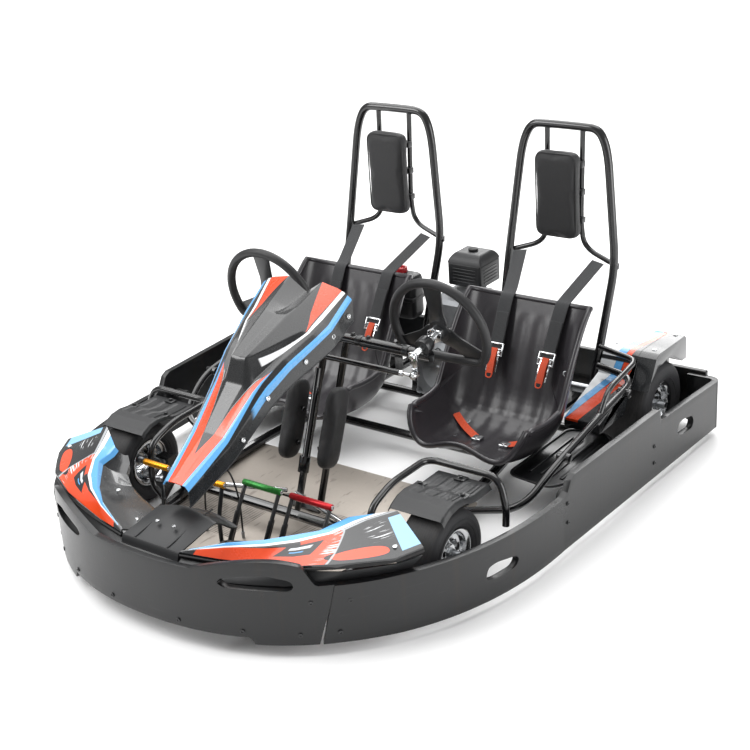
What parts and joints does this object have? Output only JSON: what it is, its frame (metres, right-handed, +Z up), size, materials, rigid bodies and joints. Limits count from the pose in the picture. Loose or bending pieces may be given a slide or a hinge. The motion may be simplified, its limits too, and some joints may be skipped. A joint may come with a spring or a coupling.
{
  "type": "twin-seat petrol go-kart",
  "caption": "Low twin-seat rental kart with a board bumper all round, bucket seats with roll hoops and belts, linked steering wheels, pedals and a rear engine.",
  "frame": {"origin": "on the ground under the middle of the kart's length and width", "axes": "+Z up, nose towards -Y, the driver's left towards +X"},
  "size_m": [1.6168, 1.84, 1.0065],
  "materials": {
    "gloss_black_steel": "gloss",
    "moulded_black": "satin",
    "pad_skin": "matte",
    "seat_shell": "satin",
    "painted_pod": "gloss",
    "pod_white": "gloss",
    "belt_webbing": "woven",
    "rubber_tyre": "matte",
    "chrome": "polished",
    "steel": "satin",
    "bumper_plastic": "satin",
    "tray_aluminium": "brushed",
    "engine_casting": "cast",
    "cap_red": "gloss",
    "brake_red": "satin",
    "throttle_green": "satin",
    "gold_anodised": "anodised",
    "cable_rubber": "matte"
  },
  "bodies": {
    "chassis": {"belt_left_inner": "belt_webbing", "belt_left_outer": "belt_webbing", "belt_right_inner": "belt_webbing", "belt_right_outer": "belt_webbing", "bumper_front": "bumper_plastic", "bumper_left": "bumper_plastic", "bumper_rear": "bumper_plastic", "bumper_right": "bumper_plastic", "engine_airbox": "moulded_black", "engine_block": "engine_casting", "floor_tray": "tray_aluminium", "foot_bar_inner": "gold_anodised", "foot_bar_outer": "gold_anodised", "frame": "gloss_black_steel", "fuel_tank": "moulded_black", "headrest_left": "pad_skin", "headrest_right": "pad_skin", "knee_pad_left": "pad_skin", "knee_pad_right": "pad_skin", "mudguard_left": "moulded_black", "mudguard_right": "moulded_black", "nose_centre": "moulded_black", "nose_left": "painted_pod", "nose_right": "painted_pod", "rear_pod_left": "pod_white", "rear_pod_right": "pod_white", "roll_hoop_left": "gloss_black_steel", "roll_hoop_right": "gloss_black_steel", "seat_left": "seat_shell", "seat_right": "seat_shell", "side_bar_left": "gloss_black_steel", "side_bar_right": "gloss_black_steel", "steering_fairing": "moulded_black", "steering_tower": "gloss_black_steel", "throttle_cable": "cable_rubber", "wheel_guard_left": "gloss_black_steel", "wheel_guard_right": "gloss_black_steel"},
    "steer_left": {"steering_wheel_left": "moulded_black", "steering_column_left": "chrome"},
    "steer_right": {"steering_wheel_right": "moulded_black", "steering_column_right": "chrome"},
    "link": {"steering_link": "gloss_black_steel"},
    "centre_shaft": {"steering_shaft": "chrome"},
    "knuckle_left": {"knuckle_left": "steel"},
    "knuckle_right": {"knuckle_right": "steel"},
    "track_rod_left": {"track_rod_left": "chrome"},
    "track_rod_right": {"track_rod_right": "chrome"},
    "front_wheel_left": {"front_tyre_left": "rubber_tyre", "front_rim_left": "chrome"},
    "front_wheel_right": {"front_tyre_right": "rubber_tyre", "front_rim_right": "chrome"},
    "rear_axle": {"rear_axle": "steel", "rear_tyre_left": "rubber_tyre", "rear_tyre_right": "rubber_tyre", "rear_rim_left": "chrome", "rear_rim_right": "chrome"},
    "brake": {"brake_pedal": "brake_red"},
    "throttle": {"throttle_pedal": "throttle_green"},
    "fuel_cap": {"fuel_cap": "cap_red"}
  },
  "joints": [
    {"name": "steering_left", "type": "hinge", "parent": "chassis", "child": "steer_left", "pos_m": [0.312, 0.058, 0.565], "axis": [0, 0.9781, 0.2079], "range_deg": [-45, 45]},
    {"name": "steering_right", "type": "hinge", "parent": "chassis", "child": "steer_right", "pos_m": [-0.312, 0.058, 0.565], "axis": [0, 0.9781, 0.2079], "range_deg": [-45, 45]},
    {"name": "link_pivot", "type": "hinge", "parent": "steer_left", "child": "link", "pos_m": [0.312, -0.08316, 0.47877], "axis": [0, 0.9781, 0.2079], "range_deg": [-46, 46]},
    {"name": "centre_shaft_turn", "type": "hinge", "parent": "chassis", "child": "centre_shaft", "pos_m": [0, -0.272, 0.056], "axis": [0, 0.3601, 0.9329], "range_deg": [-46, 46]},
    {"name": "kingpin_left", "type": "hinge", "parent": "chassis", "child": "knuckle_left", "pos_m": [0.446, -0.354, 0.127], "axis": [0, 0, 1], "range_deg": [-23, 23]},
    {"name": "track_rod_pivot_left", "type": "hinge", "parent": "knuckle_left", "child": "track_rod_left", "pos_m": [0.446, -0.432, 0.1265], "axis": [0, 0, 1], "range_deg": [-24, 24]},
    {"name": "front_wheel_spin_left", "type": "hinge", "parent": "knuckle_left", "child": "front_wheel_left", "pos_m": [0.56, -0.354, 0.127], "axis": [1, 0, 0], "continuous": true},
    {"name": "kingpin_right", "type": "hinge", "parent": "chassis", "child": "knuckle_right", "pos_m": [-0.446, -0.354, 0.127], "axis": [0, 0, 1], "range_deg": [-23, 23]},
    {"name": "track_rod_pivot_right", "type": "hinge", "parent": "knuckle_right", "child": "track_rod_right", "pos_m": [-0.446, -0.432, 0.1265], "axis": [0, 0, 1], "range_deg": [-24, 24]},
    {"name": "front_wheel_spin_right", "type": "hinge", "parent": "knuckle_right", "child": "front_wheel_right", "pos_m": [-0.56, -0.354, 0.127], "axis": [1, 0, 0], "continuous": true},
    {"name": "rear_axle_spin", "type": "hinge", "parent": "chassis", "child": "rear_axle", "pos_m": [0, 0.727, 0.14], "axis": [1, 0, 0], "continuous": true},
    {"name": "brake_press", "type": "hinge", "parent": "chassis", "child": "brake", "pos_m": [0.218, -0.56, 0.075], "axis": [1, 0, 0], "range_deg": [0, 15], "stiffness_Nm_per_rad": 6, "springref_deg": -4.58},
    {"name": "throttle_press", "type": "hinge", "parent": "chassis", "child": "throttle", "pos_m": [0.044, -0.56, 0.075], "axis": [1, 0, 0], "range_deg": [0, 15], "stiffness_Nm_per_rad": 4, "springref_deg": -6.88},
    {"name": "fuel_cap_turn", "type": "hinge", "parent": "chassis", "child": "fuel_cap", "pos_m": [-0.252, 0.668, 0.4606], "axis": [0, 0, 1], "continuous": true}
  ],
  "couplings": [
    {"joint": "steering_right", "follows": "steering_left", "ratio": 1},
    {"joint": "link_pivot", "follows": "steering_left", "ratio": -1},
    {"joint": "centre_shaft_turn", "follows": "steering_left", "ratio": 1},
    {"joint": "kingpin_left", "follows": "steering_left", "ratio": 0.485},
    {"joint": "kingpin_right", "follows": "steering_left", "ratio": 0.485},
    {"joint": "track_rod_pivot_left", "follows": "steering_left", "ratio": -0.515},
    {"joint": "track_rod_pivot_right", "follows": "steering_left", "ratio": -0.515}
  ]
}
